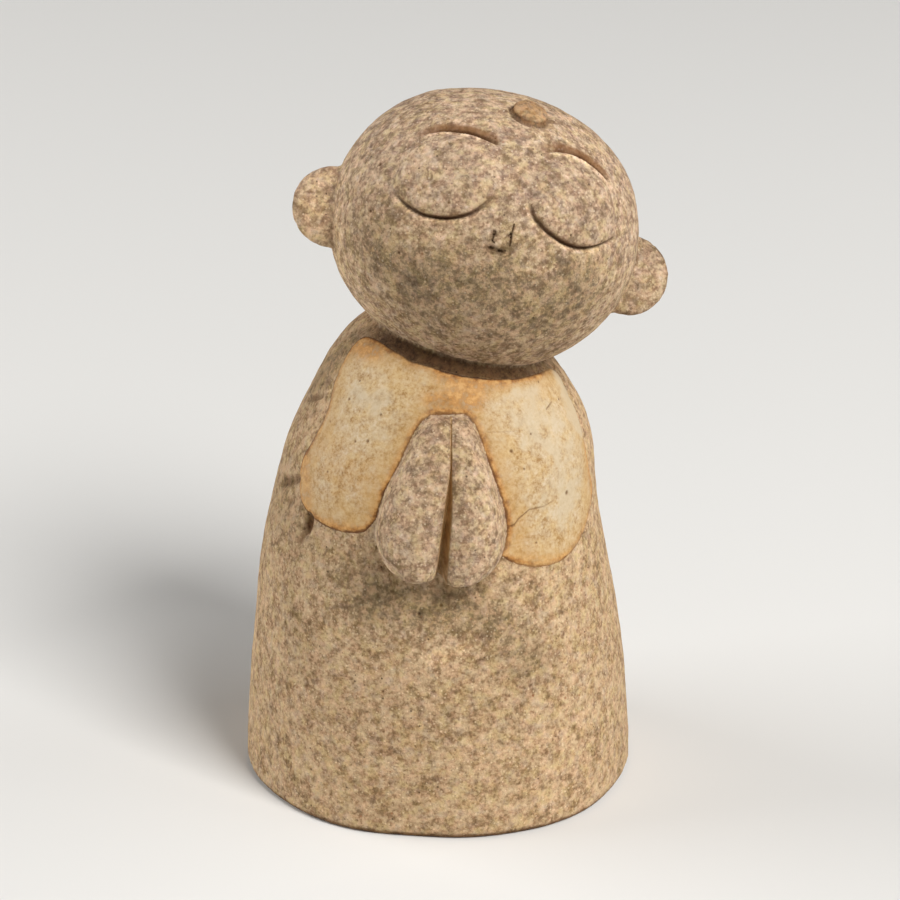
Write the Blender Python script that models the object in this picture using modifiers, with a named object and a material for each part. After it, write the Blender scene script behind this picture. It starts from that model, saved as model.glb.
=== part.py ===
"""Ceramic child jizo: a small hand-formed stoneware figure, fired as one piece.

A round-shouldered body stands on its flat foot. The head leans to one side and looks up.
Two ears, a button on the forehead and two pressed palms are joined on, and the face is cut in.
Units are metres, +Z is up, the figure faces -Y, and the origin is the middle of the foot.
"""
import math

import bmesh
import bpy
from mathutils import Matrix, Vector

# Body: a turned barrel that closes in a dome under the head
BODY_HEIGHT = 0.0822
FOOT_RADIUS = 0.0329
FOOT_ROUNDING = 0.0013
BARREL_POWER = 1.547
DOME_POWER = 0.329
SHOULDER_SWELL = 0.0014
SHOULDER_DROP = 0.0216
SHOULDER_SPREAD = 0.0080

# The body's axis wanders sideways: height as a share of the body's, how far towards +X,
# half-height as a share
AXIS_WANDERS = (
    (0.507, -0.0007, 0.139),
    (0.779, 0.0007, 0.102),
)

# Places where the foot was patted flatter or left fuller: direction in degrees from the
# front towards +X, height share, how far out, half-width in degrees, half-height share
BODY_PRESSES = (
    (-8.0, 0.05, -0.0010, 15.0, 0.15),
    (42.0, 0.06, 0.0010, 20.0, 0.20),
    (-55.0, 0.04, -0.0005, 22.0, 0.15),
)

# Head: an egg lying across the body, sunk into the dome
HEAD_WIDTH = 0.0508
HEAD_DEPTH = 0.0482
HEAD_HEIGHT = 0.0452
HEAD_SINK = 0.01025
HEAD_SHIFT = 0.0076
HEAD_BACKSET = 0.0008
HEAD_TURN = 3.1
HEAD_TILT = 14.7
HEAD_LIFT = 25.0

# Fuller and flatter places on the head: sideways and up from its front in degrees, how far
# out, half-width
HEAD_SWELLS = (
    (78.0, 40.0, 0.0006, 24.0),
    (-94.0, 45.0, 0.0007, 28.0),
    (-140.0, -76.0, -0.0015, 26.0),
)

# Ears: rounded discs at the sides of the head
EAR_RADIUS = 0.0067
EAR_THICKNESS = 0.0046
EAR_DROP = 0.0021
EAR_SINK = 0.0004

# Forehead button, placed by angles on the head
BUTTON_RADIUS = 0.0030
BUTTON_THICKNESS = 0.0026
BUTTON_TURN = 4.8
BUTTON_RISE = 48.9

# Face: angles on the head in degrees, sideways from its middle and up from its equator
EYE_MIDDLE = 27.0
EYE_HALF_SPAN = 19.5
EYE_LOW = -6.6
EYE_DEPTH_OF_ARC = 17.0
EYE_ARC_HALF_WIDTH = 22.0
EYE_DROOP = 0.09
BROW_MIDDLE = 28.0
BROW_HALF_SPAN = 18.5
BROW_TOP = 32.0
BROW_FALL = 6.0
NOSE_MARKS = ((-4.1, -8.4, -12.4), (2.5, -3.7, -11.2))
MOUTH_FROM = -4.6
MOUTH_TO = 0.6
MOUTH_RISE = -14.4
STROKE_RADIUS = 0.0009
STROKE_DEPTH = 0.0008
STROKE_END_SHARE = 0.08
STROKE_FULLNESS = 0.6
MARK_RADIUS = 0.00035
MARK_DEPTH = 0.0004

# Palms: two drops of clay laid on the chest, wide end down, with a slit between them
PALM_LENGTH = 0.0268
PALM_TIP_DROP = 0.0111
PALM_THICKNESS = 0.0126
PALM_TAPER = 0.36
PALM_BLUNTNESS = 2.6
PALM_HALF_WIDTHS = {"left": 0.0055, "right": 0.0045}
PALM_MIDDLES = {"left": -0.0030, "right": 0.0057}
PALM_LEANS = {"left": 13.0, "right": -8.0}
SLIT_MIDDLE = 0.0018
SLIT_LEAN = 2.5
SLIT_TOP_WIDTH = 0.0004
SLIT_FOOT_WIDTH = 0.0020
SLIT_FLOOR = 0.0008
SLIT_OVERRUN = 1.1

# Facets
TINY = 0.000001
BODY_STEPS = 72
BODY_RINGS = 24
RING_CROWDING = 1.6
HEAD_SEGMENTS = 56
HEAD_RINGS = 28
SMALL_SEGMENTS = 28
SMALL_RINGS = 14
STROKE_POINTS = 13
SLIT_STEPS = 6

# Fired clay
CLAY_COLOUR = (0.42, 0.31, 0.21, 1.0)
CLAY_ROUGHNESS = 0.9
SMOOTH_BELOW = math.radians(35.0)


def clear_scene():
    for item in list(bpy.data.objects):
        bpy.data.objects.remove(item, do_unlink=True)


def new_collection(name):
    group = bpy.data.collections.new(name)
    bpy.context.scene.collection.children.link(group)
    return group


def clay_material():
    clay = bpy.data.materials.new("stoneware")
    clay.use_nodes = True
    shader = clay.node_tree.nodes["Principled BSDF"]
    shader.inputs["Base Color"].default_value = CLAY_COLOUR
    shader.inputs["Roughness"].default_value = CLAY_ROUGHNESS
    shader.inputs["Metallic"].default_value = 0.0
    return clay


def link_only(item, group):
    for holder in list(item.users_collection):
        holder.objects.unlink(item)
    group.objects.link(item)


def mark_as_cutter(item):
    item.hide_render = True
    item.display_type = "WIRE"


def baked(item, group, weld=0.0):
    """Replace an object by the mesh that its modifiers or bevel make."""
    graph = bpy.context.evaluated_depsgraph_get()
    mesh = bpy.data.meshes.new_from_object(item.evaluated_get(graph))
    solid = bpy.data.objects.new(item.name + "_solid", mesh)
    solid.matrix_world = item.matrix_world.copy()
    group.objects.link(solid)
    bpy.data.objects.remove(item, do_unlink=True)
    if weld > 0.0:
        work = bmesh.new()
        work.from_mesh(mesh)
        bmesh.ops.remove_doubles(work, verts=work.verts, dist=weld)
        work.to_mesh(mesh)
        work.free()
    return solid


def body_radius(height):
    """Radius of the turned body at a height, without the rounding of the foot."""
    share = min(max(height / BODY_HEIGHT, 0.0), 1.0)
    barrel = FOOT_RADIUS * (1.0 - share ** BARREL_POWER) ** DOME_POWER
    offset = (height - BODY_HEIGHT + SHOULDER_DROP) / SHOULDER_SPREAD
    fade = (1.0 - share) ** 0.25
    return barrel + SHOULDER_SWELL * math.exp(-offset * offset) * fade


def body_profile():
    """Profile points from the top of the dome down the outer side to the middle of the foot."""
    points = [(0.0, BODY_HEIGHT)]
    for ring in range(1, BODY_RINGS + 1):
        fall = (ring / BODY_RINGS) ** RING_CROWDING
        height = BODY_HEIGHT - (BODY_HEIGHT - FOOT_ROUNDING) * fall
        points.append((body_radius(height), height))
    corner = body_radius(FOOT_ROUNDING) - FOOT_ROUNDING
    for angle in (30.0, 60.0, 90.0):
        turn = math.radians(angle)
        out = corner + FOOT_ROUNDING * math.cos(turn)
        points.append((out, FOOT_ROUNDING - FOOT_ROUNDING * math.sin(turn)))
    points.append((0.0, 0.0))
    return points


def axis_wander(height):
    """Sideways place of the body's middle at a height; none at the foot."""
    share = height / BODY_HEIGHT
    total = 0.0
    for middle, reach, spread in AXIS_WANDERS:
        total += reach * math.exp(-((share - middle) / spread) ** 2)
    return total


def press_clay(point):
    """Shift a point of the turned body by the wandering axis and the flattened places."""
    reach = math.hypot(point.x, point.y)
    across = point.x + axis_wander(point.z)
    if reach < TINY:
        return Vector((across, point.y, point.z))
    direction = math.degrees(math.atan2(point.x, -point.y))
    push = 0.0
    for heading, middle, depth, half_turn, half_height in BODY_PRESSES:
        aside = (direction - heading + 180.0) % 360.0 - 180.0
        above = point.z / BODY_HEIGHT - middle
        push += depth * math.exp(-(aside / half_turn) ** 2 - (above / half_height) ** 2)
    push /= reach
    return Vector((across + point.x * push, point.y * (1.0 + push), point.z))


def chest_point(across, height, proud):
    """Point in front of the chest, a stated distance proud of its skin."""
    reach = body_radius(height) + proud
    aside = across - axis_wander(height)
    return Vector((across, -math.sqrt(max(reach * reach - aside * aside, 0.0)), height))


def make_body(group):
    mesh = bpy.data.meshes.new("body_profile")
    points = [(out, 0.0, height) for out, height in body_profile()]
    edges = [(first, first + 1) for first in range(len(points) - 1)]
    mesh.from_pydata(points, edges, [])
    profile = bpy.data.objects.new("body", mesh)
    group.objects.link(profile)
    turn = profile.modifiers.new("turn", "SCREW")
    turn.axis = "Z"
    turn.steps = BODY_STEPS
    turn.render_steps = BODY_STEPS
    turn.use_merge_vertices = True
    turn.merge_threshold = 0.00001
    body = baked(profile, group)
    for vertex in body.data.vertices:
        vertex.co = press_clay(vertex.co)
    return body


def head_middle():
    return Vector((HEAD_SHIFT, HEAD_BACKSET, BODY_HEIGHT + HEAD_HEIGHT / 2.0 - HEAD_SINK))


def head_pose():
    """The head's own axes: turned to +X, tilted to +X, lifted to look up."""
    turn = Matrix.Rotation(math.radians(HEAD_TURN), 4, "Z")
    tilt = Matrix.Rotation(math.radians(HEAD_TILT), 4, "Y")
    lift = Matrix.Rotation(math.radians(-HEAD_LIFT), 4, "X")
    return Matrix.Translation(head_middle()) @ turn @ tilt @ lift


def head_direction(aside, rise):
    across = math.radians(aside)
    up = math.radians(rise)
    return Vector((math.sin(across) * math.cos(up), -math.cos(across) * math.cos(up), math.sin(up)))


def head_swell(ray):
    """How far the clay of the head stands proud of the plain egg in a direction."""
    total = 0.0
    for aside, rise, reach, half_width in HEAD_SWELLS:
        away = math.degrees(ray.angle(head_direction(aside, rise)))
        total += reach * math.exp(-(away / half_width) ** 2)
    return total


def head_surface(aside, rise):
    """Point of the head's skin in its own axes, by angles from its middle."""
    ray = head_direction(aside, rise)
    stretched = Vector((ray.x / HEAD_WIDTH, ray.y / HEAD_DEPTH, ray.z / HEAD_HEIGHT)) * 2.0
    return ray * (1.0 / stretched.length + head_swell(ray))


def round_form(name, group, half_sizes, segments=SMALL_SEGMENTS, rings=SMALL_RINGS):
    """A ball scaled to three half sizes, with the scale in its mesh."""
    bpy.ops.mesh.primitive_uv_sphere_add(segments=segments, ring_count=rings, radius=1.0)
    ball = bpy.context.object
    ball.name = name
    ball.data.transform(Matrix.Diagonal(Vector((*half_sizes, 1.0))))
    link_only(ball, group)
    mark_as_cutter(ball)
    return ball


def make_head(group):
    sizes = (HEAD_WIDTH / 2.0, HEAD_DEPTH / 2.0, HEAD_HEIGHT / 2.0)
    head = round_form("head", group, sizes, HEAD_SEGMENTS, HEAD_RINGS)
    for vertex in head.data.vertices:
        ray = vertex.co.normalized()
        vertex.co += ray * head_swell(ray)
    head.matrix_world = head_pose()


def make_ears(group):
    for name, side in (("ear_left", -1.0), ("ear_right", 1.0)):
        ear = round_form(name, group, (EAR_RADIUS, EAR_THICKNESS / 2.0, EAR_RADIUS))
        out = side * (HEAD_WIDTH / 2.0 - EAR_SINK)
        ear.matrix_world = head_pose() @ Matrix.Translation((out, 0.0, -EAR_DROP))


def make_button(group):
    button = round_form("forehead_button", group,
                        (BUTTON_RADIUS, BUTTON_RADIUS, BUTTON_THICKNESS / 2.0), 20, 10)
    seat = head_surface(BUTTON_TURN, BUTTON_RISE)
    facing = head_direction(BUTTON_TURN, BUTTON_RISE).to_track_quat("Z", "Y")
    button.matrix_world = head_pose() @ Matrix.Translation(seat) @ facing.to_matrix().to_4x4()


def lay_on_chest(point, middle, lean):
    """Carry a point from a palm's own axes, x across, y inwards, z up, onto the chest."""
    turn = math.radians(lean)
    across = middle + point.x * math.cos(turn) + point.z * math.sin(turn)
    up = point.z * math.cos(turn) - point.x * math.sin(turn)
    middle_height = BODY_HEIGHT - PALM_TIP_DROP - PALM_LENGTH / 2.0
    return chest_point(across, middle_height + up, -point.y)


def shape_palm(point, half_width):
    """Turn a point of the unit ball into one of a blunt drop, narrow end up."""
    power = 2.0 / PALM_BLUNTNESS
    ring = math.hypot(point.x, point.y)
    up = math.copysign(abs(point.z) ** power, point.z)
    if ring < TINY:
        return Vector((0.0, 0.0, up * PALM_LENGTH / 2.0))
    spread = ring ** power / ring * (1.0 - PALM_TAPER * up)
    depth = PALM_THICKNESS / 2.0
    return Vector((point.x * spread * half_width, point.y * spread * depth, up * PALM_LENGTH / 2.0))


def make_palms(group):
    for side, half_width in PALM_HALF_WIDTHS.items():
        palm = round_form("palm_" + side, group, (1.0, 1.0, 1.0))
        for vertex in palm.data.vertices:
            drop = shape_palm(vertex.co, half_width)
            vertex.co = lay_on_chest(drop, PALM_MIDDLES[side], PALM_LEANS[side])


def tube(name, group, points, radii, sides):
    """A closed tube through points, with a radius for each of them."""
    curve = bpy.data.curves.new(name, "CURVE")
    curve.dimensions = "3D"
    curve.bevel_depth = 1.0
    curve.bevel_resolution = sides
    curve.use_fill_caps = True
    line = curve.splines.new("POLY")
    line.points.add(len(points) - 1)
    for node, point, radius in zip(line.points, points, radii):
        node.co = (*point, 1.0)
        node.radius = radius
    drawn = bpy.data.objects.new(name, curve)
    drawn.matrix_world = head_pose()
    group.objects.link(drawn)
    bpy.context.view_layer.update()
    solid = baked(drawn, group, weld=TINY)
    mark_as_cutter(solid)


def cut_stroke(name, group, angles):
    """A stroke along angles on the head that runs out to nothing at both ends."""
    points = []
    radii = []
    last = len(angles) - 1
    for index, (aside, rise) in enumerate(angles):
        along = STROKE_END_SHARE + (1.0 - 2.0 * STROKE_END_SHARE) * index / last
        share = math.sin(math.pi * along) ** STROKE_FULLNESS
        depth = STROKE_DEPTH * share
        radius = STROKE_RADIUS * share
        outward = head_direction(aside, rise)
        points.append(head_surface(aside, rise) + outward * (radius - depth))
        radii.append(radius)
    tube(name, group, points, radii, 2)


def eye_rise(aside):
    """Height of the closed eye's lower line at an angle from the face's middle."""
    offset = aside - EYE_MIDDLE
    share = min(abs(offset) / EYE_ARC_HALF_WIDTH, 1.0)
    lift = EYE_DEPTH_OF_ARC * (1.0 - math.sqrt(1.0 - share * share))
    return EYE_LOW + lift - EYE_DROOP * offset


def brow_rise(aside):
    offset = (aside - BROW_MIDDLE) / BROW_HALF_SPAN
    return BROW_TOP - BROW_FALL * offset * offset


def cut_face(group):
    shares = [2.0 * step / (STROKE_POINTS - 1) - 1.0 for step in range(STROKE_POINTS)]
    for name, side in (("left", -1.0), ("right", 1.0)):
        eye = [EYE_MIDDLE + EYE_HALF_SPAN * share for share in shares]
        brow = [BROW_MIDDLE + BROW_HALF_SPAN * share for share in shares]
        cut_stroke("eye_" + name, group, [(side * aside, eye_rise(aside)) for aside in eye])
        cut_stroke("brow_" + name, group, [(side * aside, brow_rise(aside)) for aside in brow])


def cut_mark(name, group, start, end):
    """A short nick of even width between two angles on the head."""
    points = []
    for aside, rise in (start, end):
        sunk = head_direction(aside, rise) * (MARK_RADIUS - MARK_DEPTH)
        points.append(head_surface(aside, rise) + sunk)
    tube(name, group, points, (MARK_RADIUS, MARK_RADIUS), 1)


def cut_nose_and_mouth(group):
    for number, (aside, top, foot) in enumerate(NOSE_MARKS, start=1):
        cut_mark("nose_mark_" + str(number), group, (aside, top), (aside, foot))
    cut_mark("mouth", group, (MOUTH_FROM, MOUTH_RISE), (MOUTH_TO, MOUTH_RISE))


def cut_slit(group):
    """A thin blade between the palms that follows the chest and widens to their foot."""
    work = bmesh.new()
    bmesh.ops.create_cube(work, size=1.0)
    for step in range(1, SLIT_STEPS):
        whole = work.verts[:] + work.edges[:] + work.faces[:]
        cut = Vector((0.0, 0.0, step / SLIT_STEPS - 0.5))
        bmesh.ops.bisect_plane(work, geom=whole, plane_co=cut, plane_no=(0.0, 0.0, 1.0))
    for vertex in work.verts:
        below = 0.5 - vertex.co.z
        width = SLIT_TOP_WIDTH + (SLIT_FOOT_WIDTH - SLIT_TOP_WIDTH) * below * below
        inward = -SLIT_FLOOR if vertex.co.y > 0.0 else -PALM_THICKNESS
        up = vertex.co.z * PALM_LENGTH * SLIT_OVERRUN
        blade = Vector((vertex.co.x * width, inward, up))
        vertex.co = lay_on_chest(blade, SLIT_MIDDLE, SLIT_LEAN)
    mesh = bpy.data.meshes.new("palm_slit")
    work.to_mesh(mesh)
    work.free()
    slit = bpy.data.objects.new("palm_slit", mesh)
    group.objects.link(slit)
    mark_as_cutter(slit)


def combine(body, name, operation, group):
    step = body.modifiers.new(name, "BOOLEAN")
    step.operand_type = "COLLECTION"
    step.collection = group
    step.operation = operation
    step.solver = "EXACT"


def main():
    clear_scene()
    figure_group = new_collection("ceramic_child_jizo")
    joined_group = new_collection("joined_forms")
    cutter_group = new_collection("cutters")
    figure = make_body(figure_group)
    figure.name = "jizo_figure"
    figure.data.materials.clear()
    figure.data.materials.append(clay_material())
    make_head(joined_group)
    make_ears(joined_group)
    make_button(joined_group)
    make_palms(joined_group)
    cut_face(cutter_group)
    cut_nose_and_mouth(cutter_group)
    cut_slit(cutter_group)
    combine(figure, "join_forms", "UNION", joined_group)
    combine(figure, "cut_strokes", "DIFFERENCE", cutter_group)
    figure.data.shade_smooth()
    figure.data.set_sharp_from_angle(angle=SMOOTH_BELOW)


main()
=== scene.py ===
"""Ceramic child jizo: the fired figure with its tooled face and glazed bib, on a pale floor."""
import math

import bpy
import numpy as np
from mathutils import Matrix, Vector, noise


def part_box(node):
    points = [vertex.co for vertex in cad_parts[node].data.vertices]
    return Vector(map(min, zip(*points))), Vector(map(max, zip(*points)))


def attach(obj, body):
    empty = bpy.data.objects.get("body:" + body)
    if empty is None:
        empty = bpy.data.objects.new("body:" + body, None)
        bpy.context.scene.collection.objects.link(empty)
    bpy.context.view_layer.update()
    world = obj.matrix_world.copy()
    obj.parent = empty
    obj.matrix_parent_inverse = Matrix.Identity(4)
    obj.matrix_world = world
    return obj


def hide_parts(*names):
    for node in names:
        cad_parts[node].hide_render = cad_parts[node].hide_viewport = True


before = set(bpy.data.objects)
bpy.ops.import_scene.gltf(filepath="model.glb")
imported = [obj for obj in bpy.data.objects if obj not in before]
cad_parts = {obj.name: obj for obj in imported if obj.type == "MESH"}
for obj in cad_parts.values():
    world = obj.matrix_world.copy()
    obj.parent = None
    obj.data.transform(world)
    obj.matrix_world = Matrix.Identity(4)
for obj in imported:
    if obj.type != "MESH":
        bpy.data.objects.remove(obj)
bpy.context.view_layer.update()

MM = 0.001

# Forms repeated from the part's source, in metres and degrees
BODY_HEIGHT = 0.0822
FOOT_RADIUS = 0.0329
FOOT_ROUNDING = 0.0013
BARREL_POWER = 1.547
DOME_POWER = 0.329
SHOULDER_SWELL = 0.0014
SHOULDER_DROP = 0.0216
SHOULDER_SPREAD = 0.0080
AXIS_WANDERS = ((0.507, -0.0007, 0.139), (0.779, 0.0007, 0.102))
BODY_PRESSES = (
    (-8.0, 0.05, -0.0010, 15.0, 0.15),
    (42.0, 0.06, 0.0010, 20.0, 0.20),
    (-55.0, 0.04, -0.0005, 22.0, 0.15),
)
HEAD_SIZES = (0.0508, 0.0482, 0.0452)
HEAD_SINK = 0.01025
HEAD_SHIFT = 0.0076
HEAD_BACKSET = 0.0008
HEAD_TURN = 3.1
HEAD_TILT = 14.7
HEAD_LIFT = 25.0
HEAD_SWELLS = (
    (78.0, 40.0, 0.0006, 24.0),
    (-94.0, 45.0, 0.0007, 28.0),
    (-140.0, -76.0, -0.0015, 26.0),
)
# A fuller chin, finer than the part's source has
CHIN_SWELL = (0.0, -82.0, 0.0011, 30.0)
EAR_RADIUS = 0.0067
EAR_THICKNESS = 0.0046
EAR_DROP = 0.0021
EAR_SINK = 0.0004
BUTTON_RADIUS = 0.0030
BUTTON_THICKNESS = 0.0026
BUTTON_TURN = 4.8
BUTTON_RISE = 48.9

# Face strokes: angles on the head, sideways and up, from the viewer's left to right
EYE_STROKES = (
    ((-44.4, -0.9), (-39.8, -3.9), (-33.6, -6.4), (-27.9, -7.1), (-21.8, -6.5), (-16.2, -4.5),
     (-12.2, -1.8), (-8.6, 2.5), (-6.9, 4.9)),
    ((7.2, 4.4), (9.3, 1), (13.2, -1.9), (17.9, -4.1), (24.5, -5.8), (31, -5.8), (37.4, -3.9),
     (43.1, -0.9), (47.8, 1.9)),
)
BROW_STROKES = (
    ((-45.5, 22), (-43, 24.1), (-40, 25.8), (-35.4, 27.3), (-30.4, 28.3), (-25, 28.6),
     (-19.6, 28.3), (-14.1, 27.2), (-8.8, 25.8)),
    ((10, 26.8), (13, 28.5), (17.2, 30), (24.5, 30.9), (32, 29.9), (37.1, 27.9),
     (41.3, 25.7), (45.6, 23)),
)

# Nicks of nose and mouth: start and end in degrees on the head, half-width in millimetres
NICKS = (
    ((-4, -8.2), (-3.9, -9), 0.24), ((-3.9, -9.2), (-4, -11.6), 0.10),
    ((-4, -11.6), (-3, -12.2), 0.08),
    ((2.7, -3.8), (2.7, -6.6), 0.09), ((2.4, -7.3), (2.6, -8.7), 0.17),
    ((2.8, -8.9), (3, -11.8), 0.12), ((1.7, -8.4), (2.4, -7.6), 0.10),
    ((-4.5, -14.5), (-3.6, -14.5), 0.25), ((-3.6, -14.5), (-0.4, -14.9), 0.33),
    ((-0.4, -14.9), (0.7, -14.9), 0.22),
)

# Sections of the strokes, and the raised lids between eyes and brows
EYE_DEPTH = 1.0 * MM
EYE_WALL = 0.42 * MM
EYE_LINE = 0.28 * MM
EYE_SLOPE = 1.0 * MM
BROW_DEPTH = 0.9 * MM
BROW_WALL = 0.24 * MM
BROW_SLOPE = 1.9 * MM
BROW_BAND = 1.9 * MM
BROW_LINE = 0.30 * MM
BROW_LINE_ABOVE = 0.42 * MM
BROW_SHIFT = 0.2 * MM
LID_EDGE = 0.9 * MM
LIP_END = 1.1 * MM
BROW_STRENGTHS = (
    ((0.0, 0.0), (0.08, 0.35), (0.3, 0.9), (0.5, 1.0), (0.8, 0.95), (0.94, 0.6), (1.0, 0.0)),
    ((0.0, 0.0), (0.08, 0.35), (0.3, 0.8), (0.6, 1.0), (0.85, 0.9), (0.95, 0.6), (1.0, 0.0)),
)
LID_MIDDLE = (27.0, 10.0)
LID_HALF_SPANS = (21.0, 17.0)
LID_RISE = 0.80 * MM
NICK_DEPTH = 0.36 * MM

# Bib outline: degrees from the front about the body's axis, and height in millimetres
BIB_OUTLINE = (
    (-61.5, 78.5), (-65.1, 77.2), (-64.1, 74.6), (-62.7, 72), (-60.8, 69.9), (-58.8, 67.4),
    (-59.3, 64.6), (-61, 61.9), (-62.6, 59.9), (-62.2, 57.4), (-59.9, 55.2), (-56.8, 53.1),
    (-51, 51.7), (-44.7, 51), (-38.3, 50.7), (-31.9, 50.8), (-26.8, 51.3), (-24.2, 52.1),
    (-20, 55), (-10, 62), (3, 63), (12, 58), (20, 50), (24.9, 47.2),
    (30.6, 45.6), (36.6, 44.6), (43.1, 44.1), (49.6, 44.2), (56.2, 45), (63.1, 46.4),
    (69.2, 48.3), (73.9, 50.1), (76.1, 52.4), (72.9, 56), (71.5, 59.2), (72.7, 62),
    (75.6, 64.5), (77.1, 66.4), (78.5, 68.4), (80.8, 70.3), (77, 72.2), (64.2, 72.9),
    (46.5, 73.6), (33, 74.3), (24.3, 74.8), (17.2, 75.2), (9, 75.8), (3, 76.2),
    (-3.3, 76.7), (-10, 77), (-17.1, 77.3), (-23.7, 77.9), (-31.2, 78.3), (-41.2, 78.7),
    (-52.2, 78.9),
)
BIB_THICKNESS = 0.22 * MM
BIB_EDGE = 0.45 * MM

# Palms by rows of millimetres: height, outer edge, inner edge past the seam, thickness
PALMS = (
    ((70.2, -1.5, 3.2, 2.5), (69, -2.6, 3.3, 3.2), (67, -4, 3.4, 4.1), (63, -6, 3.3, 5.3),
     (59, -8.1, 2.9, 6.2), (54.8, -9.5, 2.4, 6.7), (51.5, -9.9, 1.9, 6.7), (49.4, -9.5, 1.4, 6.5),
     (47.4, -8.3, 0.8, 6), (46.3, -6.6, 0.2, 5.3), (45.5, -4.6, -1.2, 4.2)),
    ((70.2, 4.9, 1.3, 2.5), (69.4, 5.5, 1.2, 3), (67.5, 6.6, 1.1, 4), (62.4, 8.5, 0.8, 5.4),
     (57.1, 10.4, 0.3, 6.4), (52.8, 11.2, 0, 6.7), (50.2, 11.1, -0.1, 6.7),
     (48.6, 10.7, -0.1, 6.5), (46.9, 9.6, 0, 6.1), (45.8, 8, 0.4, 5.6), (45, 5.8, 1.6, 4.6)),
)
PALM_ROUNDNESS = 2.3
PALM_END_ROUNDING = 0.8 * MM

# Slit between the palms by rows of millimetres: height, middle, width
SLIT = ((72, 2.35, 0.02), (71, 2.3, 0.06), (65, 2.25, 0.12), (62.8, 2.2, 0.30),
        (60.4, 2.05, 0.75), (58, 1.85, 1.10), (55.5, 1.6, 1.35), (51.5, 1.15, 1.50),
        (49, 0.95, 1.70), (47, 0.7, 1.9), (45, 0.45, 2.2), (43, 0.3, 2.5))
SLIT_FLOOR = 0.5 * MM
SLIT_LIP = 0.14 * MM
SLIT_SLOPE = 0.75
SLIT_DEPTHS = ((45.0, 3.4), (50.0, 2.6), (56.0, 2.1), (60.4, 1.5), (62.8, 1.0), (66.0, 0.6))
SLIT_ENDS = (43.6, 44.6, 70.6, 71.2)

# Marks on the body: start and end in degrees from the front and millimetres up, half-width and
# depth in millimetres, darkness of the painted shade in their hollows
DENTS = (
    ((-50, 51), (-50.6, 49), 1.10, 0.90, 1.5),
    ((-51, 48.8), (-53.4, 46.4), 0.75, 0.40, 0.8),
    ((-61.2, 56), (-67, 54.7), 0.90, 0.45, 0.8),
    ((-67, 54.7), (-76, 52.8), 1.10, 0.50, 0.9),
    ((-82.4, 66.2), (-68.1, 68.7), 0.60, 0.45, 0.7),
    ((13, 67.6), (36, 66.6), 0.07, 0.06, 0.45),
    ((-66.5, 51.2), (-62, 51.8), 0.60, 0.25, 0.5),
    ((26.4, 52.3), (28.2, 52.4), 0.22, 0.20, 1),
    ((28.2, 52.4), (30.1, 53.3), 0.12, 0.20, 1),
    ((30.1, 53.3), (34.6, 54.4), 0.13, 0.20, 1),
    ((34.6, 54.4), (40.5, 54.2), 0.12, 0.18, 0.9),
    ((40.5, 54.2), (45.2, 54.6), 0.09, 0.12, 0.7),
    ((53.8, 68.2), (59.6, 68.7), 0.15, 0.16, 0.8),
)

# Dark grains on head and body, and crumbs of clay: place and radius in millimetres
HEAD_GRAINS = (
    ((-56.4, 10.2), 0.30), ((-38.9, 1.4), 0.18), ((-22.5, -1), 0.24), ((-55.3, -7.7), 0.26),
    ((-41.5, -22.1), 0.22), ((14.1, 56.8), 0.34),
)
BODY_GRAINS = (
    ((53.2, 54.9), 0.36), ((28.7, 64.1), 0.28), ((-31.2, 65.4), 0.24), ((-37, 64.9), 0.20),
    ((-46.8, 70.4), 0.22), ((-27.5, 69.5), 0.20), ((58.1, 72), 0.18), ((39.8, 65.8), 0.18),
    ((33, 61.1), 0.18), ((66.1, 68.4), 0.20), ((-44.1, 73.3), 0.16), ((37.2, 48.6), 0.18),
    ((-45.9, 59.3), 0.16), ((-4.4, 39.2), 0.26), ((2.7, 40.6), 0.30), ((-16.1, 18.7), 0.24),
    ((-16.3, 25.7), 0.20),
)
HEAD_CRUMBS = (((39.4, 55), 0.50), ((-49.6, 59.4), 0.32))
BODY_CRUMBS = (((81, 71.6), 0.50),)
CRUMB_RISE = 0.40 * MM
GRAIN_DEPTH = 0.12 * MM

# Paler and darker clay: start, end, half-width in millimetres, change of shade
HEAD_TINTS = (
    ((-25, 50), (25, 52), 11, 0.30),
    ((-38, -12), (-24, -13.5), 2.2, 0.34),
    ((12.7, -18.9), (21.5, -16.7), 1.2, 0.40),
    ((-50, -20), (-32, -26), 7, -0.40),
    ((2, -22), (40, -20), 7.5, -0.42),
    ((36, -16), (44, -24), 5, -0.18),
    ((-30, -46), (30, -46), 10, -0.41),
    ((-60, 5), (-58, -15), 6, -0.12),
    ((-26, 19), (-22, 15), 1.8, -0.20),
    ((-9, 10), (-6, 8.5), 1.6, -0.16),
    ((10.5, 18.5), (13, 16), 1.8, -0.20),
    ((34, 4), (28, 16), 5, -0.20),
    ((-40, -32), (-38, -31), 2, -0.16),
    ((-90, -6), (-90, 6), 7, 0.42),
    ((90, -6), (90, 6), 7, -0.37),
)
BODY_TINTS = (
    # Below the palms: partly painted shadow of the palms, partly darker clay
    ((-20, 40.5), (12, 40), 5, -0.34),
    ((24, 36), (30, 29), 4.5, -0.26),
    ((-70, 50), (-35, 45), 6.5, -0.18),
    ((-85, 68), (-78, 50), 8, -0.10),
    ((-30, 12), (40, 10), 9, 0.05),
    ((-1, 31.4), (11, 33.8), 1.1, 0.30),
    ((-52, 34), (-48, 28), 5, -0.12),
    ((-70, 76), (-82, 70), 4, -0.36),
)

# Stronger mottle: start, end, half-width in millimetres, change of contrast
HEAD_LIVELY = (((-4, -12), (14, -14), 5, 0.16),)
BODY_LIVELY = (((-30, 40), (24, 37), 6, 0.16),)

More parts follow.
